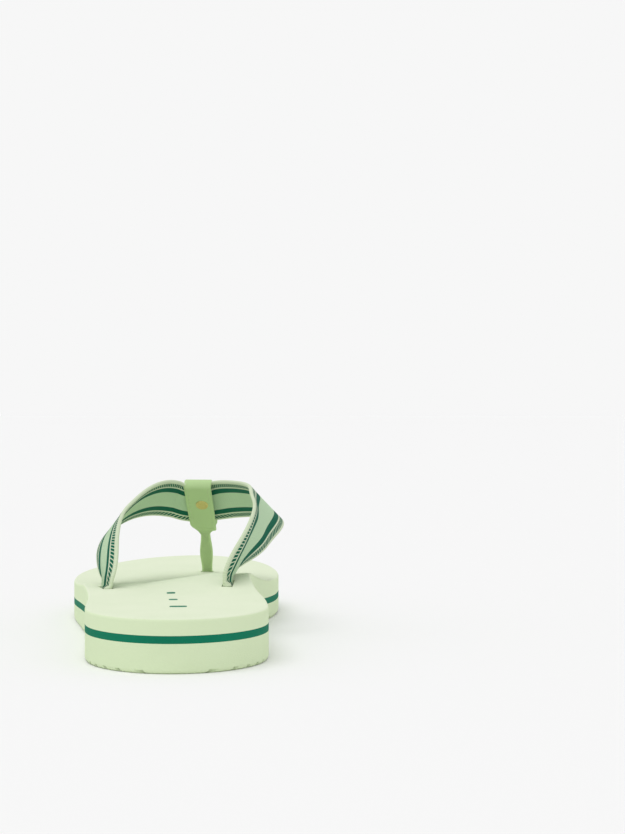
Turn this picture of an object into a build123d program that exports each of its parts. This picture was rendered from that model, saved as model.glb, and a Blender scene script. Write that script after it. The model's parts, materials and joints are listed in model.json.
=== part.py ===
"""Left flip flop with webbing straps: layered foam sole, two strap arms, a toe wrap and a flat toe post.

+Y points from the heel to the toe, +X to the big-toe side, +Z up. Every piece is worked out with the
heel's back at y = 0 and the heel's middle at x = 0, then moved so that the origin is at the bottom
centre of the whole object. "inner" is the big-toe side and "outer" the little-toe side.
"""
from build123d import *
import math
import os

# overall sizes
LENGTH = 260.0
HEEL_WIDTH = 69.2
BALL_WIDTH = 93.0
WAIST_INNER = 30.5
WAIST_OUTER = 38.0

# sole layers, from the floor up
OUTSOLE_HEEL = 10.7
OUTSOLE_FORE = 6.8
MIDSOLE_THICK = 2.8
FOOTBED_HEEL = 6.0
FOOTBED_FORE = 7.0
TOE_SPRING = 4.2
ARCH_OUTER = 1.7
ARCH_INNER = 6.2
TOP_EDGE_RADIUS = 1.0
BOTTOM_EDGE_RADIUS = 1.4

# tread grooves
GROOVE_WIDTH = 1.7
GROOVE_DEPTH = 1.3
GROOVE_PITCH = 5.6

# webbing straps
WEB_WIDTH = 25.0
WEB_THICK = 1.5
FOLD_WIDTH = 9.0
FOLD_THICK = 3.8
SLOT_CLEARANCE = 0.3
OUTER_SLOT_SIDE = 29.3
INNER_SLOT_SIDE = 20.8
OUTER_SLOT_TURN = 17.0
INNER_SLOT_TURN = -8.0

# toe wrap, rivet and toe post
YOKE_SIDE = 10.3
YOKE_RISE = 34.0
WRAP_WIDTH = 12.2
WRAP_CLOTH = 1.0
WRAP_TILT = 45.0
WRAP_TURN = -9.0
WRAP_TAPER = 8.5
WRAP_EDGE = 0.5
LAP = 5.0
LAP_CLEARANCE = 0.1
FLAT_RUN = 0.6
STRAP_STEPS = 3
MOUTH_RISE = 1.2
RIVET_HEAD = 5.6
RIVET_SHANK = 2.2
RIVET_DOME = 0.7
RIVET_EDGE = 0.5
RIVET_CLEARANCE = 0.05
RIVET_SIDE = 1.0
RIVET_UP = 0.8
NECK_WIDTH = 4.2
NECK_THICK = 3.4
POST_SIDE = 13.7
POST_WIDTH = 5.2
POST_THICK = 2.6
POST_BULGE = 0.3
POST_BOW = 0.8
STITCH_LENGTH = 1.7
STITCH_THREAD = 0.4
STITCH_PITCH = 2.6
STITCH_MARGIN = 1.5

# anchor plugs under the sole
PLUG_DIAMETER = 13.0
PLUG_THICK = 2.6
PLUG_RECESS = 0.9
PLUG_POCKET = 1.4
PLUG_CLEARANCE = 0.25
PLUG_EDGE = 0.6

# inlaid marks on the heel
MARK_DEPTH = 0.5
MARK_LENGTH = 5.0
MARK_CORNER = 1.0

# places along the sole, as shares of its length
SPRING_START = 0.65 * LENGTH
TAPER_START = 0.23 * LENGTH
TAPER_END = 0.72 * LENGTH
ARCH_PLACE = 0.465 * LENGTH
OUTER_SLOT_PLACE = 0.424 * LENGTH
INNER_SLOT_PLACE = 0.398 * LENGTH
YOKE_PLACE = 0.678 * LENGTH
POST_PLACE = 0.783 * LENGTH
HEEL_TREAD = (0.012 * LENGTH, 0.31 * LENGTH)
FORE_TREAD = (0.5 * LENGTH, 0.95 * LENGTH)

# place sideways, share of the length and width of each heel mark
HEEL_MARKS = [
    (-2.5, 0.345, 3.4),
    (-1.5, 0.25, 3.4),
    (0.5, 0.155, 6.5),
]

# how far the shapes that only cut or fill run past the sole
OVERRUN = 0.04 * LENGTH
CUT_BELOW = 5.0
CUT_HEIGHT = 60.0

# the way of each arm from the slot to the toe wrap: share of that way, distance sideways and up from
# the straight line, tilt of the webbing's width above level, its turn about the vertical, and its fold
OUTER_ARM = [
    (0.96, 15.5, 4.3, 40, 26, 0),
    (0.80, 20.3, 6.0, 40, 40, 0),
    (0.60, 19.5, 7.0, 42, 47, 0),
    (0.41, 16.0, 7.5, 49, 46, 0),
]
OUTER_ROOT = [
    (0.19, 8.0, 6.5, 52, 38, 0.25),
    (0.08, 3.0, 4.3, 42, 32, 0.6),
]
INNER_ARM = [
    (0.92, 13.8, 3.5, 41, -54, 0),
    (0.75, 21.0, 9.0, 41, -66, 0),
    (0.55, 23.0, 13.3, 46, -67, 0),
    (0.39, 20.2, 14.0, 58, -46, 0),
    (0.30, 17.0, 13.0, 60, -21, 0),
    (0.22, 13.0, 11.4, 54, -1, 0),
]
INNER_ROOT = [
    (0.12, 7.0, 8.2, 42, 8, 0.2),
    (0.04, 2.0, 4.3, 34, 2, 0.6),
]

BOTTOM = (Align.CENTER, Align.CENTER, Align.MIN)


def smooth(t):
    """Rise from 0 to 1 with level ends."""
    t = min(max(t, 0.0), 1.0)
    return t * t * (3 - 2 * t)


def spring(y):
    """Height of the underside above the floor, which only the toe leaves."""
    return TOE_SPRING * max(0.0, (y - SPRING_START) / (LENGTH - SPRING_START)) ** 1.3


def taper(y, heel, fore):
    """Thickness that goes from the heel's value to the forefoot's."""
    return heel + (fore - heel) * smooth((y - TAPER_START) / (TAPER_END - TAPER_START))


def outsole_top(y):
    return spring(y) + taper(y, OUTSOLE_HEEL, OUTSOLE_FORE)


def midsole_top(y):
    return outsole_top(y) + MIDSOLE_THICK


def footbed_top(x, y):
    """Top of the footbed, with an arch that is higher on the inner side."""
    reach = 0.081 * LENGTH if y < ARCH_PLACE else 0.108 * LENGTH
    arch = math.exp(-(((y - ARCH_PLACE) / reach) ** 2))
    inner_share = smooth((x + 0.3 * HEEL_WIDTH) / (0.58 * HEEL_WIDTH))
    rise = ARCH_OUTER + (ARCH_INNER - ARCH_OUTER) * inner_share
    return midsole_top(y) + taper(y, FOOTBED_HEEL, FOOTBED_FORE) + rise * arch


def outline():
    """The sole's outline, seen from above."""
    heel = HEEL_WIDTH / 2
    ball = BALL_WIDTH / 2
    points = [
        (0.09 * heel, 0),
        (0.64 * heel, 0.037 * LENGTH),
        (0.95 * heel, 0.112 * LENGTH),
        (heel, 0.19 * LENGTH),
        (WAIST_INNER + 0.65 * (heel - WAIST_INNER), 0.34 * LENGTH),
        (WAIST_INNER, 0.455 * LENGTH),
        (WAIST_INNER + 0.42 * (ball - WAIST_INNER), 0.58 * LENGTH),
        (0.99 * ball, 0.725 * LENGTH),
        (0.96 * ball, 0.84 * LENGTH),
        (0.78 * ball, 0.93 * LENGTH),
        (0.28 * ball, LENGTH),
        (-0.26 * ball, 0.975 * LENGTH),
        (-0.7 * ball, 0.89 * LENGTH),
        (-0.95 * ball, 0.785 * LENGTH),
        (-0.99 * ball, 0.665 * LENGTH),
        (-WAIST_OUTER - 0.45 * (ball - WAIST_OUTER), 0.54 * LENGTH),
        (-WAIST_OUTER, 0.43 * LENGTH),
        (-heel - 0.2 * (WAIST_OUTER - heel), 0.31 * LENGTH),
        (-heel, 0.19 * LENGTH),
        (-0.93 * heel, 0.105 * LENGTH),
        (-0.56 * heel, 0.027 * LENGTH),
    ]
    return make_face(Spline(*points, periodic=True))


def beyond():
    """Distances along the sole that run a little past both of its ends."""
    steps = 26
    return [-OVERRUN + (LENGTH + 2 * OVERRUN) * i / steps for i in range(steps + 1)]


def under(height):
    """Solid that fills everything below a height that changes along the sole."""
    curve = Spline(*[(0, y, height(y)) for y in beyond()])
    start = curve @ 0
    end = curve @ 1
    deep = -CUT_HEIGHT / 2
    floor = Polyline((0, start.Y, start.Z), (0, start.Y, deep), (0, end.Y, deep), (0, end.Y, end.Z))
    return extrude(make_face([curve, *floor.edges()]), BALL_WIDTH, both=True)


def under_footbed_top():
    """Solid that fills everything below the footbed's top."""
    reach = BALL_WIDTH + 2 * OVERRUN
    across = [reach * (i / 12 - 0.5) for i in range(13)]
    grid = [[Vector(x, y, footbed_top(x, y)) for y in beyond()] for x in across]
    sheet = Face.make_surface_from_array_of_points(grid, tol=0.01)
    return extrude(sheet, CUT_HEIGHT, dir=(0, 0, -1))


def under_sole():
    """Solid below the underside: level to the ball, then curving up to the toe."""
    end = LENGTH + OVERRUN
    deep = -CUT_HEIGHT / 2
    rises = [SPRING_START + (end - SPRING_START) * i / 8 for i in range(9)]
    level = Line((0, -OVERRUN, 0), (0, SPRING_START, 0))
    curve = Spline(*[(0, y, spring(y)) for y in rises], tangents=((0, 1, 0), (0, 1, 0.12)))
    rest = Polyline((0, end, spring(end)), (0, end, deep), (0, -OVERRUN, deep), (0, -OVERRUN, 0))
    return extrude(make_face([level, curve, *rest.edges()]), BALL_WIDTH, both=True)


def direction(tilt, turn):
    """Direction across the webbing: to the heel, tilted up from level, turned about the vertical."""
    tilt = math.radians(tilt)
    turn = math.radians(turn)
    return Vector(math.cos(tilt) * math.sin(turn), -math.cos(tilt) * math.cos(turn), math.sin(tilt))


def section(centre, across, normal, width, thick):
    """Rectangular face of a strap: width along across, thickness along normal."""
    a = across * (width / 2)
    n = normal * (thick / 2)
    return Face(Wire.make_polygon([centre + a + n, centre + a - n, centre - a - n, centre - a + n]))


def slot_points():
    outer = Vector(-OUTER_SLOT_SIDE, OUTER_SLOT_PLACE, 0)
    inner = Vector(INNER_SLOT_SIDE, INNER_SLOT_PLACE, 0)
    outer.Z = footbed_top(outer.X, outer.Y)
    inner.Z = footbed_top(inner.X, inner.Y)
    return outer, inner


def post_point():
    return Vector(POST_SIDE, POST_PLACE, footbed_top(POST_SIDE, POST_PLACE))


def yoke_plane():
    """Plane of the toe wrap: its y runs up the wrap and its z points to the foot."""
    across = direction(WRAP_TILT, WRAP_TURN)
    level = Vector(math.cos(math.radians(WRAP_TURN)), math.sin(math.radians(WRAP_TURN)), 0)
    origin = Vector(YOKE_SIDE, YOKE_PLACE, post_point().Z + YOKE_RISE)
    return Plane(origin=origin, x_dir=level, z_dir=level.cross(across))


def stations(way, slot, side):
    """Centre, tilt, turn and fold of each station of an arm."""
    line = yoke_plane().origin - slot
    found = []
    for share, out, up, tilt, turn, fold in way:
        centre = slot + line * share + Vector(side * out, 0, up)
        found.append((centre, tilt, turn, fold))
    return found


def between(before, start, end, after, t):
    """Smooth value between start and end, which also follows the values on either side."""
    rate_start = (end - before) * 0.5
    rate_end = (after - start) * 0.5
    blend = smooth(t)
    return (
        start * (1 - blend)
        + end * blend
        + rate_start * (t * (1 - t) ** 2)
        - rate_end * (t * t * (1 - t))
    )


def refined(found, steps):
    """Stations with steps - 1 more between each two of the inner ones."""
    result = []
    for i in range(1, len(found) - 2):
        for k in range(steps):
            group = zip(found[i - 1], found[i], found[i + 1], found[i + 2])
            result.append(tuple(between(*values, k / steps) for values in group))
    result.append(found[-2])
    return result


def strap_faces(found):
    """Sections of the webbing at each station but the first and the last."""
    dense = [found[0]] + refined(found, STRAP_STEPS) + [found[-1]]
    faces = []
    for i in range(1, len(dense) - 1):
        centre, tilt, turn, fold = dense[i]
        across = direction(tilt, turn)
        along = (dense[i + 1][0] - dense[i - 1][0]).normalized()
        normal = along.cross(across).normalized()
        width = WEB_WIDTH + (FOLD_WIDTH - WEB_WIDTH) * fold
        thick = WEB_THICK + (FOLD_THICK - WEB_THICK) * fold
        faces.append(section(centre, across, normal, width, thick))
    return faces


def strap_sections(way, root, slot, side, turn):
    """Sections of one whole strap, from under the wrap to the slot's mouth, and where it splits."""
    plane = yoke_plane()
    layer = -side * (WEB_THICK / 2 + LAP_CLEARANCE)
    ends = [plane.from_local_coords(Vector(side * x, 0, layer)) for x in (-LAP, WRAP_WIDTH / 2 + FLAT_RUN)]
    flat = [section(end, plane.y_dir, plane.z_dir * side, WEB_WIDTH, WEB_THICK) for end in ends]
    mouth = slot + Vector(0, 0, MOUTH_RISE)
    found = [(end, WRAP_TILT, WRAP_TURN, 0) for end in ends]
    found += stations(way + root, slot, side)
    found += [(mouth, 0, turn, 1), (slot - Vector(0, 0, FOLD_WIDTH), 0, turn, 1)]
    faces = flat + strap_faces(found)[1:-1]
    faces.append(section(mouth, direction(0, turn), fold_normal(turn), FOLD_WIDTH, FOLD_THICK))
    return faces, len(way) * STRAP_STEPS + 1


def fold_normal(turn):
    """Direction of a folded strap end's thickness in its slot."""
    return Vector(0, 0, -1).cross(direction(0, turn))


def fold_plane(slot, turn, height):
    return Plane(origin=Vector(slot.X, slot.Y, height), x_dir=direction(0, turn), z_dir=(0, 0, 1))


def strap_solids(way, root, slot, side, turn):
    """Stiff arm of a strap, and its folded root that goes down through the slot into the plug."""
    faces, split = strap_sections(way, root, slot, side, turn)
    low = plug_base(slot) + PLUG_THICK - PLUG_POCKET
    foot = section(Vector(slot.X, slot.Y, low), direction(0, turn), fold_normal(turn), FOLD_WIDTH, FOLD_THICK)
    arm = loft(faces[: split + 1], ruled=True)
    folded = loft(faces[split:] + [foot], ruled=True)
    return arm, folded


def slot_cut(slot, turn):
    """Slot for a folded strap end, through every layer."""
    length = FOLD_WIDTH + 2 * SLOT_CLEARANCE
    width = FOLD_THICK + 2 * SLOT_CLEARANCE
    return extrude(fold_plane(slot, turn, -CUT_BELOW) * Rectangle(length, width), CUT_HEIGHT)


def post_cut():
    length = POST_WIDTH + 2 * SLOT_CLEARANCE
    width = POST_THICK + 2 * SLOT_CLEARANCE
    base = post_point()
    return extrude(Pos(base.X, base.Y, -CUT_BELOW) * Rectangle(length, width), CUT_HEIGHT)


def plug_base(place):
    """Height of a plug's underside: a little inside the tread."""
    return spring(place.Y) + PLUG_RECESS


def plug(place, cut):
    """Rubber disc that holds a strap end, with a pocket for it in its upper face."""
    base = plug_base(place)
    disc = Pos(place.X, place.Y, base) * Cylinder(PLUG_DIAMETER / 2, PLUG_THICK, align=BOTTOM)
    disc = fillet(disc.edges().group_by(Axis.Z)[0], PLUG_EDGE)
    pocket_base = base + PLUG_THICK - PLUG_POCKET
    reach = Pos(place.X, place.Y, pocket_base) * Cylinder(PLUG_DIAMETER, CUT_HEIGHT, align=BOTTOM)
    return disc - (cut & reach)


def plug_recess(place):
    radius = PLUG_DIAMETER / 2 + PLUG_CLEARANCE
    top = plug_base(place) + PLUG_THICK
    return Pos(place.X, place.Y, -CUT_BELOW) * Cylinder(radius, top + CUT_BELOW, align=BOTTOM)


def grooves():
    """Grooves across the tread, under the heel and under the forefoot."""
    cuts = []
    for start, end in (HEEL_TREAD, FORE_TREAD):
        count = int((end - start) / GROOVE_PITCH) + 1
        for i in range(count):
            y = start + i * GROOVE_PITCH
            height = spring(y) + GROOVE_DEPTH + CUT_BELOW
            cuts.append(Pos(0, y, -CUT_BELOW) * Box(2 * BALL_WIDTH, GROOVE_WIDTH, height, align=BOTTOM))
    return cuts


def mark_boxes():
    """Three plain bars down the middle of the heel, which stand in for a printed mark."""
    bars = []
    for x, share, width in HEEL_MARKS:
        y = share * LENGTH
        bar = Pos(x, y, footbed_top(x, y) - MARK_DEPTH) * Box(width, MARK_LENGTH, CUT_HEIGHT, align=BOTTOM)
        bars.append(fillet(bar.edges().filter_by(Axis.Z), MARK_CORNER))
    return bars


def wrap_half():
    """Half the thickness of the wrap: both arms lie in its pocket."""
    return WEB_THICK + 2 * LAP_CLEARANCE + WRAP_CLOTH


def toe_wrap_solid():
    """Sewn sleeve round both arms, narrowing to the neck of the toe post, with the rivet's hole."""
    plane = yoke_plane()
    room = WEB_WIDTH + 2 * SLOT_CLEARANCE
    top = room / 2 + WRAP_CLOTH
    thick = 2 * wrap_half()
    sleeve = Box(WRAP_WIDTH, 2 * top, thick)
    sleeve = fillet(sleeve.edges().filter_by(Axis.Y), WRAP_EDGE)
    wide = Plane.XZ.offset(top) * Rectangle(WRAP_WIDTH, thick)
    narrow = Plane.XZ.offset(top + WRAP_TAPER) * Rectangle(NECK_WIDTH, NECK_THICK)
    body = sleeve + loft([wide, narrow])
    body -= Box(2 * WRAP_WIDTH, room, thick - 2 * WRAP_CLOTH)
    body -= rivet_hole()
    return plane.location * body


def rivet_hole():
    """Hole for the rivet's shank, in the wrap's own plane."""
    radius = RIVET_SHANK / 2 + RIVET_CLEARANCE
    return Pos(RIVET_SIDE, RIVET_UP) * Cylinder(radius, 6 * wrap_half())


def rivet_pieces():
    """Cap with its shank on the outside of the wrap, and the round face on the foot's side."""
    half = wrap_half()
    place = yoke_plane().location * Pos(RIVET_SIDE, RIVET_UP)
    cap = Pos(0, 0, -half - RIVET_DOME) * Cylinder(RIVET_HEAD / 2, RIVET_DOME, align=BOTTOM)
    cap = fillet(cap.edges().group_by(Axis.Z)[0], RIVET_EDGE)
    shank = Pos(0, 0, -half) * Cylinder(RIVET_SHANK / 2, 2 * half, align=BOTTOM)
    face = Pos(0, 0, half) * Cylinder(RIVET_HEAD / 2, RIVET_DOME, align=BOTTOM)
    face = fillet(face.edges().group_by(Axis.Z)[-1], RIVET_EDGE)
    return place * (cap + shank), place * face


def wrap_stitches():
    """Stitches down both edges of the wrap, on both of its faces."""
    plane = yoke_plane()
    half = wrap_half()
    run = WEB_WIDTH - 2 * STITCH_MARGIN
    count = int(run / STITCH_PITCH)
    column = WRAP_WIDTH / 2 - STITCH_MARGIN
    found = []
    for side in (-1, 1):
        for face in (-1, 1):
            for i in range(count + 1):
                place = (i - count / 2) * STITCH_PITCH
                spot = Pos(side * column, place, face * (half + STITCH_THREAD / 2))
                found.append(plane.location * (spot * Box(STITCH_THREAD, STITCH_LENGTH, STITCH_THREAD)))
    return found


def toe_post_solid():
    """Flat strip from the wrap's neck down between the toes and through the sole to its plug."""
    plane = yoke_plane()
    drop = WEB_WIDTH / 2 + SLOT_CLEARANCE + WRAP_CLOTH + WRAP_TAPER
    neck = plane.from_local_coords(Vector(0, -drop, 0))
    base = post_point()
    mouth = base + Vector(0, 0, MOUTH_RISE)
    middle = (neck + mouth) / 2 + Vector(0, POST_BOW, 0)
    lean = (mouth - neck).normalized()
    level = Vector(1, 0, 0)
    faces = [
        section(neck, plane.x_dir, plane.z_dir, NECK_WIDTH, NECK_THICK),
        section(middle, level, level.cross(lean).normalized(), POST_WIDTH + POST_BULGE, POST_THICK),
        section(mouth, level, Vector(0, -1, 0), POST_WIDTH, POST_THICK),
    ]
    low = plug_base(base) + PLUG_THICK - PLUG_POCKET
    leg = extrude(Pos(base.X, base.Y, low) * Rectangle(POST_WIDTH, POST_THICK), mouth.Z - low)
    return loft(faces) + leg


def round_footbed(footbed):
    """Soften the upper rim of the footbed."""
    rim = footbed.faces().sort_by(Axis.Z)[-1].outer_wire()
    return fillet(rim.edges(), TOP_EDGE_RADIUS)


def round_outsole(outsole):
    """Soften the lower rim of the outsole, from the heel to where the toe leaves the floor."""
    rim = outsole.faces().sort_by(Axis.Z)[0].edges().filter_by(GeomType.BSPLINE)
    return fillet(rim, BOTTOM_EDGE_RADIUS)


def build():
    """Every node's shape, in the heel's coordinates."""
    block = extrude(Plane.XY.offset(-CUT_BELOW) * outline(), CUT_HEIGHT)
    below_outsole_top = under(outsole_top)
    below_midsole_top = under(midsole_top)
    outsole = (block & below_outsole_top) - under_sole()
    midsole = (block & below_midsole_top) - below_outsole_top
    footbed = (block & under_footbed_top()) - below_midsole_top
    footbed = round_footbed(footbed)
    outsole = round_outsole(outsole)

    outer, inner = slot_points()
    places = {"outer_plug": outer, "inner_plug": inner, "toe_plug": post_point()}
    cuts = {
        "outer_plug": slot_cut(outer, OUTER_SLOT_TURN),
        "inner_plug": slot_cut(inner, INNER_SLOT_TURN),
        "toe_plug": post_cut(),
    }
    holes = list(cuts.values())
    marks = [bar & footbed for bar in mark_boxes()]
    outsole = outsole - holes - [plug_recess(place) for place in places.values()] - grooves()
    cap, face = rivet_pieces()
    bore = yoke_plane().location * rivet_hole()
    outer_arm, outer_root = strap_solids(OUTER_ARM, OUTER_ROOT, outer, -1, OUTER_SLOT_TURN)
    inner_arm, inner_root = strap_solids(INNER_ARM, INNER_ROOT, inner, 1, INNER_SLOT_TURN)
    nodes = {
        "outsole": outsole,
        "midsole": midsole - holes,
        "footbed": footbed - holes - mark_boxes(),
        "heel_marks": marks,
        "strap_outer": outer_arm - bore,
        "strap_inner": inner_arm - bore,
        "strap_root_outer": outer_root,
        "strap_root_inner": inner_root,
        "toe_wrap": toe_wrap_solid(),
        "toe_post": toe_post_solid(),
        "wrap_stitches": wrap_stitches(),
        "rivet_cap": cap,
        "rivet_face": face,
    }
    for name, place in places.items():
        nodes[name] = plug(place, cuts[name])
    return nodes


def solids_of(shape):
    """All solids of a shape or of a list of shapes."""
    shapes = shape if isinstance(shape, (list, ShapeList)) else [shape]
    return [solid for one in shapes for solid in one.solids()]


def main():
    nodes = {name: solids_of(shape) for name, shape in build().items()}
    whole = Compound([solid for solids in nodes.values() for solid in solids]).bounding_box()
    centre = Pos(-(whole.min.X + whole.max.X) / 2, -(whole.min.Y + whole.max.Y) / 2, -whole.min.Z)
    os.makedirs("parts", exist_ok=True)
    for name, solids in nodes.items():
        moved = [centre * solid for solid in solids]
        shape = moved[0] if len(moved) == 1 else Compound(moved)
        export_step(shape, f"parts/{name}.step")


if __name__ == "__main__":
    main()
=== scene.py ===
# %% [markdown]
# A left flip flop: a foam sole in three layers, two webbing arms that meet under a sewn toe wrap, and a
# flat post between the toes. The sole's layers, the heel's inlaid bars, the plugs and the rivet come from
# the CAD frame and only get materials here. The webbing, the wrap with its post and the stitches are soft,
# so they are modelled.

# %% Load the frame
import json
import math

import bmesh
import bpy
import numpy as np
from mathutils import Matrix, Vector


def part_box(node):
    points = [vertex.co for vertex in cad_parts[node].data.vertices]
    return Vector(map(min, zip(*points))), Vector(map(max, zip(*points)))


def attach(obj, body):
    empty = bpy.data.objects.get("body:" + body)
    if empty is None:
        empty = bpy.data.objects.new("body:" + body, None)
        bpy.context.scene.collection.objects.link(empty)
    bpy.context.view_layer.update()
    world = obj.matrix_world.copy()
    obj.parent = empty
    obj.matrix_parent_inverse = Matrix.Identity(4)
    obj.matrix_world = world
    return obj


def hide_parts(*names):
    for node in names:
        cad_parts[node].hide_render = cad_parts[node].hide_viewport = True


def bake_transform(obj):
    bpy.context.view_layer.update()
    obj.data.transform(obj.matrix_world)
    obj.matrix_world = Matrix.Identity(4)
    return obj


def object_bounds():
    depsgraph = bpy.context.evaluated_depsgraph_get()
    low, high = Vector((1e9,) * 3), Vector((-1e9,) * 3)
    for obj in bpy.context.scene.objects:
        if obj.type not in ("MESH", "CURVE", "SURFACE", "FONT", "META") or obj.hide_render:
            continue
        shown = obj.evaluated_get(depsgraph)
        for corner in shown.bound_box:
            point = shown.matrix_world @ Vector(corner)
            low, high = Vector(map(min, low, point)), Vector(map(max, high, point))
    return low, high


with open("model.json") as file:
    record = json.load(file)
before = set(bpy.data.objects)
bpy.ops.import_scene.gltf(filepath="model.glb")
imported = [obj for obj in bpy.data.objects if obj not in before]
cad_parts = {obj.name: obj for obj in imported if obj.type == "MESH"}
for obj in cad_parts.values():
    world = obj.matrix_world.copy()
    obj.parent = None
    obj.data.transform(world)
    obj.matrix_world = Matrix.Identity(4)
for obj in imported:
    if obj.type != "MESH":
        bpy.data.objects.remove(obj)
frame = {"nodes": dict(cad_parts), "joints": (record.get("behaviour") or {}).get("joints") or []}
cad_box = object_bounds()
MM = 0.001
print("CAD box", [[round(value, 4) for value in corner] for corner in cad_box])

# %% [markdown]
# The soft pieces have to meet the CAD ones, so their places are read from the frame: each strap goes into
# the sole above its plug, the hinge line passes through both side slots, and the stitches lie evenly
# round the middle of the wrap.

# %% Find the anchor points
def middle(node):
    low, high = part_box(node)
    return np.array([(a + b) / 2 for a, b in zip(low, high)])


joint = frame["joints"][0]
hinge = np.array(joint["pos_m"], float)
hinge_line = np.array(joint["axis"], float)
inner_plug = middle("inner_plug")
outer_slot = hinge
inner_slot = hinge + hinge_line * ((inner_plug[0] - hinge[0]) / hinge_line[0])
yoke = middle("wrap_stitches")
toe_plug = middle("toe_plug")
STRAP_END_RISE = 1.3 * MM
plug_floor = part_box("toe_plug")[0][2] + STRAP_END_RISE
print("slots", outer_slot.round(4), inner_slot.round(4), "wrap", yoke.round(4))

# %% [markdown]
# A strap bends and twists in space. It could be swept along a curve, but a curve's twist is hard to
# steer, so a strap is a row of cross-sections instead. Each one has a centre, a direction across the
# webbing and a direction through its thickness.

# %% Directions and smooth steps
def unit(vector):
    return vector / np.linalg.norm(vector)


def direction(tilt, turn):
    """Direction across the webbing: towards the heel, tilted up, turned about the vertical."""
    tilt = math.radians(tilt)
    turn = math.radians(turn)
    return np.array([math.cos(tilt) * math.sin(turn), -math.cos(tilt) * math.cos(turn), math.sin(tilt)])


def smooth(t):
    t = np.clip(t, 0, 1)
    return t * t * (3 - 2 * t)


def between(before, start, end, after, t):
    """Value between start and end that also follows the values on either side."""
    rate_start = (end - before) * 0.5
    rate_end = (after - start) * 0.5
    blend = smooth(t)
    return start * (1 - blend) + end * blend + rate_start * (t * (1 - t) ** 2) - rate_end * (t * t * (1 - t))


def refined(rows, steps):
    """Rows with steps - 1 more between each two of the inner ones."""
    rows = np.array(rows, float)
    result = []
    for i in range(1, len(rows) - 2):
        for k in range(steps):
            result.append(between(rows[i - 1], rows[i], rows[i + 1], rows[i + 2], k / steps))
    result.append(rows[-2])
    return np.array(result)


# %% [markdown]
# The wrap lies in one tilted plane that faces the foot. Each piece could be turned into place by itself,
# but then they would have to be kept in line by hand. The plane's own three directions are worked out
# once instead, and the arms, the strip and the stitches are all placed with them.

# %% Wrap plane
WRAP_TILT = 45
WRAP_TURN = -9
wrap_up = direction(WRAP_TILT, WRAP_TURN)
wrap_side = np.array([math.cos(math.radians(WRAP_TURN)), math.sin(math.radians(WRAP_TURN)), 0])
wrap_in = unit(np.cross(wrap_side, wrap_up))


def on_wrap(side, up, inward):
    """Point given in the wrap's own directions."""
    return yoke + wrap_side * side + wrap_up * up + wrap_in * inward


print("wrap faces the foot along", wrap_in.round(3))

# %% [markdown]
# Every strap here is a closed band: two faces joined by rounded edges, with both ends capped. The band's
# texture map is measured in millimetres along and across the cloth, so a woven pattern keeps its real
# size and follows the band as it bends.

# %% Band builder
EDGE_STEPS = 5


def band_profile(columns):
    """Places round a band's cross-section: share across, -1 to 1, and share through, -1 to 1."""
    face = np.linspace(-1, 1, columns)
    turn = np.linspace(-90, 90, EDGE_STEPS + 2)[1:-1]
    upper = [(x, 1.0, 0.0) for x in face]
    right = [(1.0, math.sin(math.radians(-a)), math.cos(math.radians(a))) for a in turn]
    lower = [(x, -1.0, 0.0) for x in face[::-1]]
    left = [(-1.0, math.sin(math.radians(a)), -math.cos(math.radians(a))) for a in turn]
    return upper + right + lower + left


def band(name, centres, across, normals, widths, thicks, columns, relief=None):
    """Closed band through the given sections, with its length and its area.

    relief(share, row) lifts a face's points."""
    profile = band_profile(columns)
    count = len(profile)
    travel = np.concatenate([[0], np.cumsum(np.linalg.norm(np.diff(centres, axis=0), axis=1))])
    points = []
    for row in range(len(centres)):
        half = thicks[row] / 2
        flat = widths[row] / 2 - half
        for share, through, bulge in profile:
            lift = relief(share, row) if relief else 0
            side = share * flat + bulge * half
            points.append(centres[row] + across[row] * side + normals[row] * (through * half + lift))
    faces = []
    for row in range(len(centres) - 1):
        for i in range(count):
            j = (i + 1) % count
            a, b = row * count + i, row * count + j
            faces.append((a, b, b + count, a + count))
    last = (len(centres) - 1) * count
    faces.append(tuple(range(count - 1, -1, -1)))
    faces.append(tuple(range(last, last + count)))
    mesh = bpy.data.meshes.new(name)
    mesh.from_pydata([tuple(p) for p in points], [], faces)
    cloth = mesh.uv_layers.new(name="Cloth")
    full = max(widths) / 2 / MM
    for polygon in mesh.polygons:
        for loop in polygon.loop_indices:
            vertex = mesh.loops[loop].vertex_index
            row, place = divmod(vertex, count)
            cloth.data[loop].uv = (travel[row] / MM, profile[place][0] * full)
    mesh.shade_smooth()
    piece = bpy.data.objects.new(name, mesh)
    bpy.context.scene.collection.objects.link(piece)
    bpy.context.view_layer.objects.active = piece
    point_outwards(piece)
    print(name, len(mesh.polygons), "faces,", round(travel[-1] / MM, 1), "mm long")
    steps = np.diff(travel)
    return piece, float(travel[-1]), float((steps * (np.array(widths[1:]) + widths[:-1]) / 2).sum())


def point_outwards(piece):
    """Turn the faces of a closed shell outwards."""
    shell = bmesh.new()
    shell.from_mesh(piece.data)
    bmesh.ops.recalc_face_normals(shell, faces=shell.faces)
    shell.to_mesh(piece.data)
    shell.free()


# %% [markdown]
# The arms are 25 mm webbing. Each starts flat under the wrap, arches over the instep, turns to stand beside
# the foot, and is gathered to a narrow end that goes down its slot. The stations are few and listed, and the
# steps between them are worked out.

# %% Webbing sizes and stations
WEB_WIDTH = 25 * MM
WEB_THICK = 1.5 * MM
FOLD_WIDTH = 9 * MM
FOLD_THICK = 3.8 * MM
CUP_FOLDED = 2.2 * MM
CUP_ABOVE = 5 * MM
PLEAT = 0.25 * MM
SQUEEZE = 1.5 * MM
WRAP_WIDTH = 12.2 * MM
LAP = 3 * MM
LAP_CLEARANCE = 0.1 * MM
WRAP_MARGIN = 0.6 * MM
START_LEAD = 4 * MM
END_LEAD = 5 * MM
MOUTH_RISE = 1.2 * MM
STEPS = 16
UNDER_WRAP = 2 * STEPS
WEB_COLUMNS = 49

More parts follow.
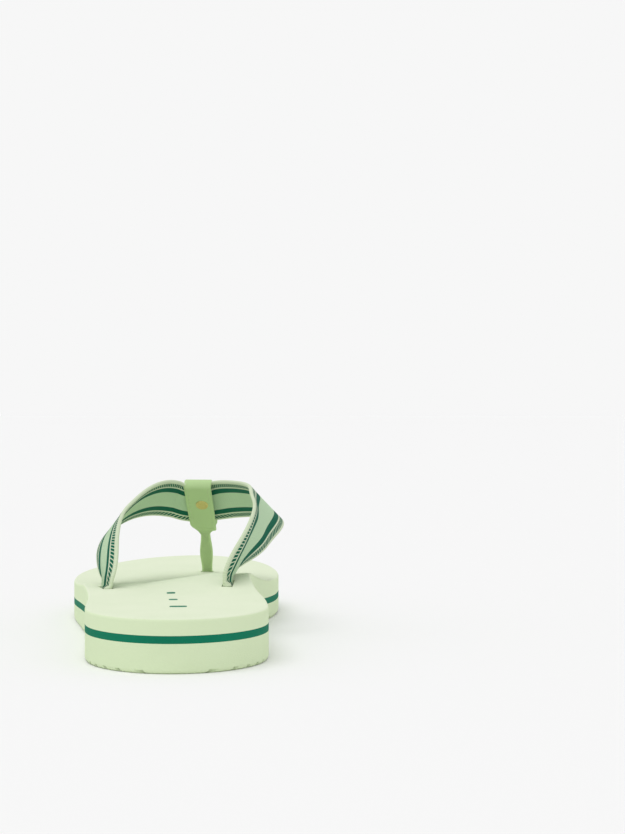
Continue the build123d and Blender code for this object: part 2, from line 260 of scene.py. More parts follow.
# Each station: share of the way from slot to wrap, mm out, mm up, tilt and turn in degrees, and fold,
# which is 0 where the webbing is flat and 1 where it is fully gathered.
OUTER_WAY = [
    (0.96, 15.5, 3.7, 40, 24, 0),
    (0.80, 20.3, 6.3, 40, 40, 0),
    (0.60, 19.5, 7.0, 42, 47, 0),
    (0.41, 16.0, 7.5, 49, 46, 0),
    (0.19, 8.0, 6.5, 52, 38, 0.25),
    (0.08, 3.0, 4.3, 42, 32, 0.6),
]
INNER_WAY = [
    (0.92, 14.6, 4.1, 41, -54, 0),
    (0.75, 23.0, 9.0, 41, -66, 0),
    (0.55, 23.8, 13.3, 46, -66, 0),
    (0.39, 18.8, 14.0, 58, -46, 0),
    (0.30, 17.0, 13.0, 60, -21, 0),
    (0.22, 13.0, 11.4, 54, -1, 0),
    (0.12, 7.0, 8.2, 42, 8, 0.2),
    (0.04, 2.0, 4.3, 34, 2, 0.6),
]
OUTER_TURN = 17
INNER_TURN = -8
OUTER_LEAN = 12
INNER_LEAN = 17
INNER_LIFT = -1 * MM


def strap_rows(way, slot, side, turn, lean, lift):
    """Rows of centre, direction across and fold, from under the wrap down into the sole.

    The first and the last row only steer the curve."""
    layer = -side * (WEB_THICK / 2 + LAP_CLEARANCE)
    slope = math.radians(lean)
    across = wrap_up * math.cos(slope) - wrap_side * side * math.sin(slope)
    edge = WRAP_WIDTH / 2
    rows = []
    for x in (-LAP - START_LEAD, -LAP, edge + WRAP_MARGIN):
        centre = on_wrap(side * x, lift + (x - edge) * math.tan(slope), layer)
        rows.append((*centre, *across, 0))
    for share, out, up, tilt, about, fold in way:
        centre = slot + (yoke - slot) * share + np.array([side * out * MM, 0, up * MM])
        rows.append((*centre, *direction(tilt, about), fold))
    for drop in (-MOUTH_RISE, slot[2] - plug_floor, slot[2] - plug_floor + END_LEAD):
        rows.append((slot[0], slot[1], slot[2] - drop, *direction(0, turn), 1))
    return rows


# %% [markdown]
# Gathered webbing doesn't only get narrower: it hollows towards the foot and folds into soft pleats. A flat
# band that narrows would look like tape, so each section is bent by how far it is gathered. In its slot the
# cloth lies doubled, so the band gets thicker there. Stations listed one by one leave a little unevenness,
# which averaging each section with its neighbours takes out.

# %% Build the two straps
EASE_PASSES = 90
EASE_ENDS = STEPS + STEPS // 2
PLEATS = 3


def eased(rows):
    """Rows with the small unevenness between stations smoothed out, apart from both ends."""
    inner = slice(EASE_ENDS, -EASE_ENDS)
    for _ in range(EASE_PASSES):
        before = rows[EASE_ENDS - 1 : -EASE_ENDS - 1]
        after = rows[EASE_ENDS + 1 : 1 - EASE_ENDS]
        rows[inner] = (before + 2 * rows[inner] + after) / 4
    return rows


def strap(name, way, slot, side, turn, lean, lift):
    rows = eased(refined(strap_rows(way, slot, side, turn, lean, lift), STEPS))
    centres = rows[:, :3]
    along = np.gradient(centres, axis=0)
    across = np.array([unit(row) for row in rows[:, 3:6]])
    normals = np.array([unit(np.cross(a, w)) for a, w in zip(along, across)])
    outward = np.array([math.copysign(1, normal[0] * side) for normal in normals])
    outward[:UNDER_WRAP] = 0
    fold = np.clip(rows[:, 6], 0, 1)
    widths = WEB_WIDTH + (FOLD_WIDTH - WEB_WIDTH) * fold
    widths -= SQUEEZE * (1 - smooth(np.arange(len(rows)) / UNDER_WRAP))
    in_slot = smooth((slot[2] + MOUTH_RISE - centres[:, 2]) / MOUTH_RISE)
    thicks = WEB_THICK + (FOLD_THICK - WEB_THICK) * in_slot

    def cupped(share, row):
        """Hollow towards the foot, with soft pleats, where the webbing is gathered."""
        gathered = fold[row] * (1 - fold[row])
        cup = (CUP_FOLDED * fold[row] + CUP_ABOVE * gathered) * (1 - in_slot[row])
        pleats = PLEAT * 4 * gathered * math.cos(PLEATS * math.pi * share)
        return outward[row] * (cup * (0.5 - share * share) + pleats)

    return band(name, centres, across, normals, widths, thicks, WEB_COLUMNS, cupped)


outer_strap, outer_length, _ = strap(
    "outer_strap", OUTER_WAY, outer_slot, side=-1, turn=OUTER_TURN, lean=OUTER_LEAN, lift=0
)
inner_strap, inner_length, _ = strap(
    "inner_strap", INNER_WAY, inner_slot, side=1, turn=INNER_TURN, lean=INNER_LEAN, lift=INNER_LIFT
)

# %% [markdown]
# The toe wrap and the post are one strip of cloth: it comes up out of the sole, widens by a funnel, goes
# over the arms and comes back down on the foot's side, and the two layers lie together as the post. It
# could be two pieces that meet at the neck, but a seam would show there, so one band makes it all.

# %% Toe strip
CLOTH = 1.2 * MM
LAYER_GAP = 0.05 * MM
NECK_WIDTH = 4.2 * MM
POST_WIDTH = 4.8 * MM
POST_MIDDLE = 6.0 * MM
POST_BOW = 1.2 * MM
POST_MOUTH = 1 * MM
SLANT = 16
POCKET_HALF = WEB_THICK + 2 * LAP_CLEARANCE
POCKET_SLACK = 0.3 * MM
POCKET_HEM = 1 * MM
TAPER = 8.5 * MM
PROBE_REACH = 6 * MM
PROBE_START = 0.2
STRIP_COLUMNS = 17
SECTIONS = {"sole": 8, "post": 22, "funnel": 18, "wrap": 20, "top": 15}
pocket_low = WEB_WIDTH / 2 + POCKET_SLACK
sleeve_top = 10.9 * MM
neck_up = -(pocket_low + POCKET_HEM + TAPER)
neck = on_wrap(0, neck_up, 0)


def surface_height(x, y):
    """Height of the footbed round a point, from rays cast down beside it."""
    footbed = frame["nodes"]["footbed"]
    found = []
    for dx, dy in ((1, 0), (-1, 0), (0, 1), (0, -1)):
        above = (x + dx * PROBE_REACH, y + dy * PROBE_REACH, PROBE_START)
        hit, place, _, _ = footbed.ray_cast(above, (0, 0, -1))
        if hit:
            found.append(place[2])
    return sum(found) / len(found)


post_base = np.array([toe_plug[0], toe_plug[1], surface_height(toe_plug[0], toe_plug[1])])
print("post base", post_base.round(4), "neck", neck.round(4))


def strip_layer(face):
    """Rows of one layer of the strip, from the plug up to the top of the wrap: centre, normal, width."""
    rows = []
    level = np.array([0, -1.0, 0])
    mouth = post_base + np.array([0, 0, POST_MOUTH])
    for z in np.linspace(plug_floor, mouth[2], SECTIONS["sole"])[:-1]:
        rows.append((np.array([post_base[0], post_base[1], z]), level, POST_WIDTH, 0))
    for t in np.linspace(0, 1, SECTIONS["post"])[:-1]:
        centre = mouth + (neck - mouth) * t + np.array([0, POST_BOW, 0]) * math.sin(math.pi * t)
        normal = unit(level * (1 - smooth(t)) + wrap_in * smooth(t))
        width = POST_WIDTH + (POST_MIDDLE - POST_WIDTH) * math.sin(math.pi * t) ** 2
        width += (NECK_WIDTH - POST_WIDTH) * smooth((t - 0.35) / 0.65)
        rows.append((centre, normal, width, 0))
    for t in np.linspace(0, 1, SECTIONS["funnel"])[:-1]:
        wide = NECK_WIDTH + (WRAP_WIDTH - NECK_WIDTH) * smooth(t * 1.05)
        rows.append((on_wrap(0, neck_up + TAPER * t, 0), wrap_in, wide, smooth((t - 0.35) / 0.6)))
    for t in np.linspace(0, 1, SECTIONS["wrap"]):
        up = neck_up + TAPER + (sleeve_top - neck_up - TAPER) * t
        rows.append((on_wrap(0, up, 0), wrap_in, WRAP_WIDTH, 1))
    result = []
    for centre, normal, width, spread in rows:
        offset = CLOTH / 2 + LAYER_GAP + POCKET_HALF * spread
        result.append((centre + normal * face * offset, normal * face, width))
    return result


def strip_top():
    """Rows over the top of the wrap, from the outer face to the foot's side."""
    radius = POCKET_HALF + LAYER_GAP + CLOTH / 2
    rows = []
    for angle in np.linspace(0, 180, SECTIONS["top"])[1:-1]:
        a = math.radians(angle)
        normal = -wrap_in * math.cos(a) + wrap_up * math.sin(a) * 0.6
        centre = on_wrap(0, sleeve_top + 0.5 * radius * math.sin(a), -radius * math.cos(a))
        rows.append((centre, unit(normal), WRAP_WIDTH))
    return rows


strip = strip_layer(-1) + strip_top() + strip_layer(1)[::-1]
strip_centres = np.array([row[0] for row in strip])
strip_normals = np.array([row[1] for row in strip])
strip_widths = np.array([row[2] for row in strip])


def strip_direction(centre):
    """Direction across the strip: level at the post, slanted where the funnel begins.

    Below the footbed only the small sideways part is left."""
    if centre[2] < neck[2]:
        share = smooth((centre[2] - post_base[2]) / (neck[2] - post_base[2]))
        return wrap_side * share + np.array([1e-3, 0, 0])
    up = float(np.dot(centre - yoke, wrap_up))
    start = neck_up + TAPER
    share = smooth(up / start) if up > start else smooth((up - neck_up) / TAPER)
    slope = math.radians(SLANT) * share
    return wrap_side * math.cos(slope) - wrap_up * math.sin(slope)


strip_across = np.array([unit(strip_direction(row[0])) for row in strip])
toe_strip, strip_length, strip_area = band(
    "toe_strip",
    strip_centres,
    strip_across,
    strip_normals,
    strip_widths,
    np.full(len(strip), CLOTH),
    STRIP_COLUMNS,
)

# %% [markdown]
# A line of thread holds the wrap's layers together down each edge. The stitches are alike and evenly spaced,
# so Geometry Nodes places them on a line, with named inputs for the thread's sizes. The result is turned
# into a plain mesh.

# %% Stitch node tree
STITCH_LENGTH = 1.8 * MM
STITCH_THICK = 0.45 * MM


def stitch_tree(thread_material):
    tree = bpy.data.node_groups.new("Stitch row", "GeometryNodeTree")
    face = tree.interface
    face.new_socket("Geometry", in_out="OUTPUT", socket_type="NodeSocketGeometry")
    for name, kind, value in (
        ("Start", "NodeSocketVector", None),
        ("End", "NodeSocketVector", None),
        ("Count", "NodeSocketInt", 10),
        ("Stitch length", "NodeSocketFloat", STITCH_LENGTH),
        ("Thread", "NodeSocketFloat", STITCH_THICK),
    ):
        socket = face.new_socket(name, in_out="INPUT", socket_type=kind)
        if value is not None:
            socket.default_value = value
    nodes, links = tree.nodes, tree.links
    given = nodes.new("NodeGroupInput")
    line = nodes.new("GeometryNodeMeshLine")
    line.mode = "END_POINTS"
    bead = nodes.new("GeometryNodeMeshUVSphere")
    bead.inputs["Segments"].default_value = 8
    bead.inputs["Rings"].default_value = 6
    bead.inputs["Radius"].default_value = 0.5
    size = nodes.new("ShaderNodeCombineXYZ")
    stretch = nodes.new("GeometryNodeTransform")
    place = nodes.new("GeometryNodeInstanceOnPoints")
    toward = nodes.new("ShaderNodeVectorMath")
    toward.operation = "SUBTRACT"
    aim = nodes.new("FunctionNodeAlignRotationToVector")
    aim.axis = "Z"
    real = nodes.new("GeometryNodeRealizeInstances")
    smooth_faces = nodes.new("GeometryNodeSetShadeSmooth")
    paint = nodes.new("GeometryNodeSetMaterial")
    paint.inputs["Material"].default_value = thread_material
    out = nodes.new("NodeGroupOutput")
    for source, target in (
        (given.outputs["Start"], line.inputs["Start Location"]),
        (given.outputs["End"], line.inputs["Offset"]),
        (given.outputs["Count"], line.inputs["Count"]),
        (given.outputs["End"], toward.inputs[0]),
        (given.outputs["Start"], toward.inputs[1]),
        (toward.outputs[0], aim.inputs["Vector"]),
        (given.outputs["Thread"], size.inputs["X"]),
        (given.outputs["Thread"], size.inputs["Y"]),
        (given.outputs["Stitch length"], size.inputs["Z"]),
        (bead.outputs["Mesh"], stretch.inputs["Geometry"]),
        (size.outputs[0], stretch.inputs["Scale"]),
        (line.outputs["Mesh"], place.inputs["Points"]),
        (stretch.outputs["Geometry"], place.inputs["Instance"]),
        (aim.outputs["Rotation"], place.inputs["Rotation"]),
        (place.outputs["Instances"], real.inputs["Geometry"]),
        (real.outputs["Geometry"], smooth_faces.inputs["Geometry"]),
        (smooth_faces.outputs["Geometry"], paint.inputs["Geometry"]),
        (paint.outputs["Geometry"], out.inputs["Geometry"]),
    ):
        links.new(source, target)
    return tree


def run_tree(name, tree, values):
    """Plain mesh object that holds what a node tree makes for these values."""
    host = bpy.data.objects.new(name + "_host", bpy.data.meshes.new(name + "_host"))
    bpy.context.scene.collection.objects.link(host)
    modifier = host.modifiers.new("nodes", "NODES")
    modifier.node_group = tree
    for socket in tree.interface.items_tree:
        if socket.in_out == "INPUT" and socket.name in values:
            modifier[socket.identifier] = values[socket.name]
    evaluated = host.evaluated_get(bpy.context.evaluated_depsgraph_get())
    mesh = bpy.data.meshes.new_from_object(evaluated)
    bpy.data.objects.remove(host)
    piece = bpy.data.objects.new(name, mesh)
    bpy.context.scene.collection.objects.link(piece)
    return piece


def joined(name, parts):
    """One object from several that share their materials."""
    bpy.ops.object.select_all(action="DESELECT")
    for part in parts:
        part.select_set(True)
    bpy.context.view_layer.objects.active = parts[0]
    bpy.ops.object.join()
    parts[0].name = name
    return parts[0]


# %% [markdown]
# Each finish is a node material. What more than one material needs, such as the mottled skin of foam and
# the weave of cloth, is a shader group with named inputs, built once.

# %% Small helpers for shader nodes
def new_material(name, rough, metal=0.0):
    material = bpy.data.materials.new(name)
    material.use_nodes = True
    shader = material.node_tree.nodes["Principled BSDF"]
    shader.inputs["Roughness"].default_value = rough
    shader.inputs["Metallic"].default_value = metal
    return material, shader


def group(name, inputs, outputs):
    tree = bpy.data.node_groups.new(name, "ShaderNodeTree")
    for label, kind, value in inputs:
        socket = tree.interface.new_socket(label, in_out="INPUT", socket_type=kind)
        if value is not None:
            socket.default_value = value
    for label, kind in outputs:
        tree.interface.new_socket(label, in_out="OUTPUT", socket_type=kind)
    return tree, tree.nodes.new("NodeGroupInput"), tree.nodes.new("NodeGroupOutput")


def math_node(tree, operation, a, b=None, c=None, clamp=False):
    """Math node whose inputs are sockets or plain numbers."""
    node = tree.nodes.new("ShaderNodeMath")
    node.operation = operation
    node.use_clamp = clamp
    for socket, value in zip(node.inputs, (a, b, c)):
        if value is None:
            continue
        if isinstance(value, (int, float)):
            socket.default_value = value
        else:
            tree.links.new(value, socket)
    return node.outputs[0]


def mix_colour(tree, factor, a, b):
    node = tree.nodes.new("ShaderNodeMix")
    node.data_type = "RGBA"
    for socket, value in ((node.inputs[0], factor), (node.inputs[6], a), (node.inputs[7], b)):
        if isinstance(value, (int, float)):
            socket.default_value = value
        elif isinstance(value, tuple):
            socket.default_value = (*value, 1)
        else:
            tree.links.new(value, socket)
    return node.outputs[2]


def add_bump(material, shader, height, depth):
    node = material.node_tree.nodes.new("ShaderNodeBump")
    node.inputs["Distance"].default_value = depth
    node.inputs["Strength"].default_value = 1.0
    material.node_tree.links.new(height, node.inputs["Height"])
    material.node_tree.links.new(node.outputs["Normal"], shader.inputs["Normal"])


# %% [markdown]
# The sole is closed-cell foam. Its skin has fine pores and a faint cloudiness, and where it is cut the
# shade differs a little. Pores as geometry would need millions of faces for what the eye can hardly see,
# so a group makes them as a height for bump, and its cloud mixes two close shades.

# %% Foam skin group
def foam_skin():
    """Fine closed pores and a faint cloudiness, as on cut and pressed foam."""
    floats = "NodeSocketFloat"
    tree, given, out = group(
        "Foam skin",
        [("Pore scale", floats, 2600.0), ("Cloud scale", floats, 45.0)],
        [("Height", floats), ("Cloud", floats)],
    )
    place = tree.nodes.new("ShaderNodeTexCoord").outputs["Object"]
    pores = tree.nodes.new("ShaderNodeTexVoronoi")
    fine = tree.nodes.new("ShaderNodeTexNoise")
    fine.inputs["Scale"].default_value = 1100
    fine.inputs["Detail"].default_value = 3
    cloud = tree.nodes.new("ShaderNodeTexNoise")
    cloud.inputs["Detail"].default_value = 4
    for node in (pores, fine, cloud):
        tree.links.new(place, node.inputs["Vector"])
    tree.links.new(given.outputs["Pore scale"], pores.inputs["Scale"])
    tree.links.new(given.outputs["Cloud scale"], cloud.inputs["Scale"])
    pit = math_node(tree, "MINIMUM", pores.outputs["Distance"], 0.45)
    height = math_node(tree, "MULTIPLY_ADD", fine.outputs["Fac"], 0.6, pit)
    tree.links.new(height, out.inputs["Height"])
    tree.links.new(cloud.outputs["Fac"], out.inputs["Cloud"])
    return tree


foam_group = foam_skin()
print("foam skin group,", len(foam_group.nodes), "nodes")


def foam_material(name, light, dark, rough, pore_scale=2600.0, depth=0.00012, cut=None):
    """Foam of two close shades. cut is the shade of its cut sides, where that differs from its skin."""
    material, shader = new_material(name, rough)
    shader.inputs["Specular IOR Level"].default_value = 0.15
    tree = material.node_tree
    skin = tree.nodes.new("ShaderNodeGroup")
    skin.node_tree = foam_group
    skin.inputs["Pore scale"].default_value = pore_scale
    cloud = math_node(tree, "MULTIPLY_ADD", skin.outputs["Cloud"], 2.2, -0.6, clamp=True)
    colour = mix_colour(tree, cloud, dark, light)
    if cut:
        split = tree.nodes.new("ShaderNodeSeparateXYZ")
        tree.links.new(tree.nodes.new("ShaderNodeNewGeometry").outputs["Normal"], split.inputs[0])
        level = math_node(tree, "MULTIPLY_ADD", split.outputs["Z"], 3.0, -1.6, clamp=True)
        colour = mix_colour(tree, level, cut, colour)
    tree.links.new(colour, shader.inputs["Base Color"])
    add_bump(material, shader, skin.outputs["Height"], depth)
    return material


# %% [markdown]
# Webbing and wrap are woven. A weave on the object's own coordinates would cut across a strap that turns,
# so the threads follow the band's map instead, whose unit is the millimetre. Each cloth gives the group
# its own thread size.

# %% Cloth weave group
def cloth_weave():
    """Over-and-under threads, from the band's own map in millimetres."""
    floats = "NodeSocketFloat"
    tree, given, out = group(
        "Cloth weave",
        [("Map", "NodeSocketVector", None), ("Thread", floats, 0.5)],
        [("Height", floats), ("Gap", floats)],
    )
    split = tree.nodes.new("ShaderNodeSeparateXYZ")
    tree.links.new(given.outputs["Map"], split.inputs[0])
    along = math_node(tree, "DIVIDE", split.outputs["X"], given.outputs["Thread"])
    across = math_node(tree, "DIVIDE", split.outputs["Y"], given.outputs["Thread"])
    row = math_node(tree, "SINE", math_node(tree, "MULTIPLY", along, math.pi))
    column = math_node(tree, "SINE", math_node(tree, "MULTIPLY", across, math.pi))
    over = math_node(tree, "MULTIPLY", row, column)
    warp = math_node(tree, "ABSOLUTE", column)
    weft = math_node(tree, "ABSOLUTE", row)
    height = math_node(tree, "MULTIPLY_ADD", over, 0.35, math_node(tree, "MULTIPLY", warp, 0.6))
    height = math_node(tree, "MULTIPLY_ADD", weft, 0.25, height)
    beside_warp = math_node(tree, "SUBTRACT", 1.0, warp)
    beside_weft = math_node(tree, "SUBTRACT", 1.0, weft)
    gap = math_node(tree, "MULTIPLY", beside_warp, beside_weft)
    tree.links.new(height, out.inputs["Height"])
    tree.links.new(gap, out.inputs["Gap"])
    return tree


weave_group = cloth_weave()
print("cloth weave group,", len(weave_group.nodes), "nodes")


def weave_in(material, thread):
    """Place the weave in a cloth material, with the thread's size in mm. Returns its map and outputs."""
    tree = material.node_tree
    cloth = tree.nodes.new("ShaderNodeUVMap")
    cloth.uv_map = "Cloth"
    weave = tree.nodes.new("ShaderNodeGroup")
    weave.node_tree = weave_group
    weave.inputs["Thread"].default_value = thread
    tree.links.new(cloth.outputs["UV"], weave.inputs["Map"])
    return cloth.outputs["UV"], weave.outputs["Height"], weave.outputs["Gap"]


# %% [markdown]
# The webbing's pattern is woven in and mirrored about its middle. From each edge there is a pale selvedge,
# a dark line of slanting dashes, a pale gap, a plain dark line, and then the wide mint middle. The
# distance from the edge, read from the map, picks the colour, so both faces show it as the real webbing
# does.

# %% Webbing material
PALE = (0.70, 0.80, 0.58)
MINT = (0.57, 0.77, 0.51)
DARK = (0.001, 0.135, 0.076)
SHADOW = (0.05, 0.12, 0.05)

# Widths and lengths are in millimetres, and the widths are counted from the edge inwards.
SELVEDGE = 0.7
CHECK_WIDTH = 2.3
GAP_WIDTH = 0.9
LINE_WIDTH = 3.2
CHECK_LENGTH = 1.5
CHECK_SLANT = 0.6
PAST_MIDDLE = 99
WEB_THREAD = 0.55
DASH_SHARPNESS = 2.5
DASH_DARKNESS = 2.1
GAP_SHADE = 0.45


def stripe(tree, distance, start, end, soft=0.12):
    """Mask that is 1 between two distances from the edge, in millimetres."""
    rise = math_node(tree, "MULTIPLY_ADD", distance, 1 / soft, -start / soft + 0.5, clamp=True)
    fall = math_node(tree, "MULTIPLY_ADD", distance, -1 / soft, end / soft + 0.5, clamp=True)
    return math_node(tree, "MULTIPLY", rise, fall)


def webbing_material():
    """Striped webbing, with the stripes placed by their distance from its edge."""
    material, shader = new_material("webbing", rough=0.9)
    shader.inputs["Specular IOR Level"].default_value = 0.1
    tree = material.node_tree
    cloth, height, gap = weave_in(material, WEB_THREAD)
    split = tree.nodes.new("ShaderNodeSeparateXYZ")
    tree.links.new(cloth, split.inputs[0])
    edge = math_node(tree, "SUBTRACT", WEB_WIDTH / 2 / MM, math_node(tree, "ABSOLUTE", split.outputs["Y"]))
    check_end = SELVEDGE + CHECK_WIDTH
    line_start = check_end + GAP_WIDTH
    line_end = line_start + LINE_WIDTH
    slant = math_node(tree, "MULTIPLY_ADD", edge, CHECK_SLANT, split.outputs["X"])
    dash = math_node(tree, "SINE", math_node(tree, "MULTIPLY", slant, 2 * math.pi / CHECK_LENGTH))
    dash = math_node(tree, "MULTIPLY_ADD", dash, DASH_SHARPNESS, DASH_DARKNESS, clamp=True)
    checks = math_node(tree, "MULTIPLY", stripe(tree, edge, SELVEDGE, check_end), dash)
    line = stripe(tree, edge, line_start, line_end)
    middle_mask = stripe(tree, edge, line_end, PAST_MIDDLE)
    colour = mix_colour(tree, middle_mask, PALE, MINT)
    colour = mix_colour(tree, math_node(tree, "MAXIMUM", checks, line), colour, DARK)
    shade = math_node(tree, "MULTIPLY", gap, GAP_SHADE)
    colour = mix_colour(tree, shade, colour, SHADOW)
    tree.links.new(colour, shader.inputs["Base Color"])
    shader.inputs["Sheen Weight"].default_value = 0.06
    add_bump(material, shader, height, depth=0.00018)
    return material


def plain_cloth(name, light, dark, thread):
    """Cloth of one dye, with painted shade between its threads."""
    material, shader = new_material(name, rough=0.7)
    shader.inputs["Specular IOR Level"].default_value = 0.15
    tree = material.node_tree
    _, height, gap = weave_in(material, thread)
    # The dark colour fills the gaps between the threads as painted shade.
    tree.links.new(mix_colour(tree, gap, light, dark), shader.inputs["Base Color"])
    shader.inputs["Sheen Weight"].default_value = 0.06
    add_bump(material, shader, height, depth=0.0001)
    return material


# %% [markdown]
# The rivet is satin gold metal, and the thread is twisted. An even gloss looks like plastic, so noise breaks
# up the metal's roughness, and a slanting wave gives the thread its strands, with painted shade in the
# grooves between them.

# %% Metal and thread
def gold_material():
    """Satin gold with fine scratches that break up its gloss."""
    material, shader = new_material("satin_gold", rough=0.32, metal=1.0)
    tree = material.node_tree
    place = tree.nodes.new("ShaderNodeTexCoord").outputs["Object"]
    noise = tree.nodes.new("ShaderNodeTexNoise")
    noise.inputs["Scale"].default_value = 900
    tree.links.new(place, noise.inputs["Vector"])
    rough = math_node(tree, "MULTIPLY_ADD", noise.outputs["Fac"], 0.25, 0.2)
    tree.links.new(rough, shader.inputs["Roughness"])
    colour = mix_colour(tree, noise.outputs["Fac"], (0.66, 0.55, 0.20), (0.82, 0.71, 0.32))
    tree.links.new(colour, shader.inputs["Base Color"])
    return material


def thread_finish():
    """Twisted thread, with its strands as fine slanting ridges and painted shade in the grooves between
    them.
    """
    material, shader = new_material("thread", rough=0.6)
    tree = material.node_tree
    place = tree.nodes.new("ShaderNodeTexCoord").outputs["Object"]
    wave = tree.nodes.new("ShaderNodeTexWave")
    wave.inputs["Scale"].default_value = 900
    wave.bands_direction = "DIAGONAL"
    tree.links.new(place, wave.inputs["Vector"])
    # The wave's low parts, the grooves between strands, get the darker green as painted shade.
    colour = mix_colour(tree, wave.outputs["Fac"], (0.46, 0.62, 0.32), (0.60, 0.76, 0.44))
    tree.links.new(colour, shader.inputs["Base Color"])
    add_bump(material, shader, wave.outputs["Fac"], depth=0.00005)
    return material


# %% [markdown]
# Each piece of foam has its own pair of close shades. The footbed's skin is paler than its cut side, which
# is the shade of the tread below. The rubber of the plugs has the finest pores.

# %% Make the finishes
CUT_FOAM = (0.74, 0.86, 0.58)
webbing = webbing_material()
# The wrap's dark colour is painted shade between its threads.
wrap_cloth = plain_cloth("wrap_cloth", light=(0.55, 0.75, 0.37), dark=(0.42, 0.60, 0.27), thread=0.34)
thread = thread_finish()
gold = gold_material()
foot_foam = foam_material(
    "footbed_foam", light=(0.80, 0.87, 0.67), dark=(0.77, 0.85, 0.64), rough=0.85, cut=CUT_FOAM
)
tread_foam = foam_material(
    "tread_foam", light=CUT_FOAM, dark=(0.71, 0.83, 0.55), rough=0.85, pore_scale=2200.0
)
green_foam = foam_material(
    "green_foam", light=(0.004, 0.205, 0.112), dark=(0.003, 0.175, 0.095), rough=0.8
)
print_green = foam_material(
    "green_print", light=(0.020, 0.230, 0.130), dark=(0.015, 0.190, 0.105), rough=0.5, depth=0.00004
)
rubber = foam_material(
    "plug_rubber",
    light=(0.62, 0.72, 0.48),
    dark=(0.56, 0.66, 0.43),
    rough=0.6,
    pore_scale=3200.0,
    depth=0.00005,
)
print(len(bpy.data.materials), "materials so far")

# %% [markdown]
# Each edge of the wrap has a row of stitches on both faces. The tree above makes one row, so it is run
# four times, from the lower end of the pocket to just under the fold at the top, and the rows are joined.

# %% Stitches down both edges of the wrap
STITCH_PITCH = 2.6 * MM
STITCH_MARGIN = 1.6 * MM
stitch_column = WRAP_WIDTH / 2 - STITCH_MARGIN
stitch_run = WEB_WIDTH / 2 - STITCH_MARGIN
stitch_top = sleeve_top - STITCH_MARGIN
face_height = POCKET_HALF + LAYER_GAP + CLOTH
rows_of_stitches = []
row_tree = stitch_tree(thread)
for side in (-1, 1):
    for face in (-1, 1):
        start = on_wrap(side * stitch_column, -stitch_run, face * face_height)
        end = on_wrap(side * stitch_column, stitch_top, face * face_height)
        count = round((stitch_run + stitch_top) / STITCH_PITCH) + 1
        values = {"Start": tuple(start), "End": tuple(end), "Count": count}
        rows_of_stitches.append(run_tree("stitch_row", row_tree, values))
stitches = joined("wrap_stitching", rows_of_stitches)
print("stitches", len(stitches.data.polygons), "faces")

# %% [markdown]
# A modelled piece gets its material in its own mesh. A CAD node keeps its mesh untouched, so its material
# goes into the object's slots.

# %% Put the finishes on
def paint(piece, material):
    piece.data.materials.clear()
    piece.data.materials.append(material)


def paint_node(name, material):
    node = frame["nodes"][name]
    for slot in node.material_slots:
        slot.material = material


for piece in (outer_strap, inner_strap):
    paint(piece, webbing)
paint(toe_strip, wrap_cloth)
for name, material in (
    ("footbed", foot_foam),
    ("midsole", green_foam),
    ("outsole", tread_foam),
    ("heel_marks", print_green),
    ("rivet_cap", gold),
    ("rivet_face", gold),
    ("outer_plug", rubber),
    ("inner_plug", rubber),
    ("toe_plug", rubber),
):
    paint_node(name, material)
print("painted the soft pieces and the CAD nodes that stay")

# %% [markdown]
# When the straps are pressed down, the rigid frame turns about the two slots. Real webbing bends near the
# sole. Here the straps and the strip keep their shapes where they are built, the stitches go with the yoke,
# and the CAD pieces that the soft ones stand for are hidden.

# %% Tie the stitches to the yoke and hide the CAD pieces that the soft ones stand for
ROOT_END = 6 * MM


def strap_split(node):
    """Middle of the end of a root that meets its stiff arm: the mean of its highest points."""
    mesh = frame["nodes"][node].data
    points = np.array([v.co for v in mesh.vertices])
    return points[points[:, 2] > points[:, 2].max() - ROOT_END].mean(axis=0)


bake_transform(outer_strap)
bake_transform(inner_strap)
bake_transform(toe_strip)
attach(stitches, "yoke")
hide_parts("strap_outer", "strap_root_outer")
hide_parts("strap_inner", "strap_root_inner")
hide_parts("toe_wrap", "toe_post")
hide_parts("wrap_stitches")
print("outer strap bends from", outer_slot.round(4), "to", strap_split("strap_root_outer").round(4))

# %% [markdown]
# All three are cloth, and a strip has the size that it was cut to. The webbing comes 25 mm wide off the
# roll and is gathered to fit its slot. The wrap and post are one cut strip, wide at the wrap and narrow
# at the ends.

# %% Print how long each cloth is
print("strap lengths", round(outer_length, 4), round(inner_length, 4), "strip", round(strip_length, 4))

# %% [markdown]
# The stage is a wide pale floor, so wide that its edge is lost in the sky and no horizon shows. A curved
# backdrop would do too, but it would have to turn with the camera.

# %% Floor
FLOOR_REACH = 30.0


def pale_floor():
    corners = [(-1, -1), (1, -1), (1, 1), (-1, 1)]
    mesh = bpy.data.meshes.new("pale_floor")
    mesh.from_pydata([(x * FLOOR_REACH, y * FLOOR_REACH, 0) for x, y in corners], [], [(0, 1, 2, 3)])
    sweep = bpy.data.objects.new("pale_floor", mesh)
    bpy.context.scene.collection.objects.link(sweep)
    material, shader = new_material("pale_floor", rough=0.9)
    shader.inputs["Base Color"].default_value = (0.93, 0.93, 0.93, 1)
    shader.inputs["Specular IOR Level"].default_value = 0.1
    mesh.materials.append(material)
    return sweep


pale_floor()
print("floor reaches", FLOOR_REACH, "m each way")

# %% [markdown]
# An even white sky gives most of the light, as a light tent does in a studio. It is shown to the camera
# brighter than the light that it gives, so that the background is white and the pale foam isn't washed
# out. A large soft lamp above brightens the top faces a little. The Standard view keeps the pale colours
# as they are mixed, where the default one greys them.

# %% Sky and lamp
SKY_LIGHT = 0.72
SKY_SEEN = 0.93
LAMP_STRENGTH = 0.95
LAMP_SPREAD = math.radians(50)
LAMP_TOWARDS = (0.25, 0.15, -1)


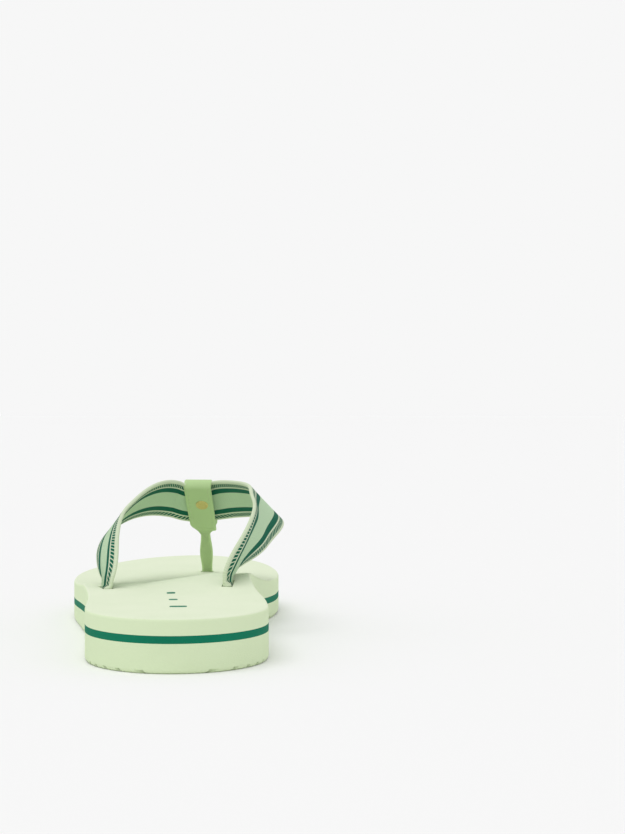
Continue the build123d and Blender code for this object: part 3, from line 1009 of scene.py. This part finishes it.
def even_sky():
    """White all round, brighter to look at than the light that it gives."""
    world = bpy.data.worlds.new("even_sky")
    world.use_nodes = True
    tree = world.node_tree
    background = tree.nodes["Background"]
    background.inputs["Color"].default_value = (1, 1, 1, 1)
    seen = tree.nodes.new("ShaderNodeLightPath").outputs["Is Camera Ray"]
    strength = math_node(tree, "MULTIPLY_ADD", seen, SKY_SEEN - SKY_LIGHT, SKY_LIGHT)
    tree.links.new(strength, background.inputs["Strength"])
    return world


bpy.context.scene.world = even_sky()
lamp_data = bpy.data.lights.new("soft_lamp", "SUN")
lamp_data.energy = LAMP_STRENGTH
lamp_data.angle = LAMP_SPREAD
lamp = bpy.data.objects.new("soft_lamp", lamp_data)
lamp.rotation_euler = Vector(LAMP_TOWARDS).to_track_quat("-Z", "Y").to_euler()
bpy.context.scene.collection.objects.link(lamp)
bpy.context.scene.view_settings.view_transform = "Standard"
print("sky lights with", SKY_LIGHT, "and is seen at", SKY_SEEN)

# %% [markdown]
# The camera stands low behind the heel, a little above the straps, and looks along the sole. The shoe
# points slightly outwards from the line of sight. A long lens keeps the shapes calm.

# %% Camera
CAMERA_HEIGHT = 0.093
CAMERA_BACK = 0.626
TOE_OUT = math.radians(4.2)
HEEL_LEFT = 0.0477
LENS = 102.6
PITCH = math.radians(0.225)

heel_back = cad_box[0][1]
camera_data = bpy.data.cameras.new("camera")
camera_data.sensor_fit = "HORIZONTAL"
camera_data.sensor_width = 36
camera_data.lens = LENS
camera_data.clip_start = 0.01
camera = bpy.data.objects.new("camera", camera_data)
right = np.array([math.cos(TOE_OUT), -math.sin(TOE_OUT), 0])
ahead = np.array([math.sin(TOE_OUT), math.cos(TOE_OUT), 0])
stand = np.array([0, heel_back, CAMERA_HEIGHT]) + right * HEEL_LEFT - ahead * CAMERA_BACK
look = ahead * math.cos(PITCH) - np.array([0, 0, math.sin(PITCH)])
camera.location = stand
camera.rotation_euler = Vector(look).to_track_quat("-Z", "Y").to_euler()
bpy.context.scene.collection.objects.link(camera)
bpy.context.scene.camera = camera
print("camera", stand.round(4))
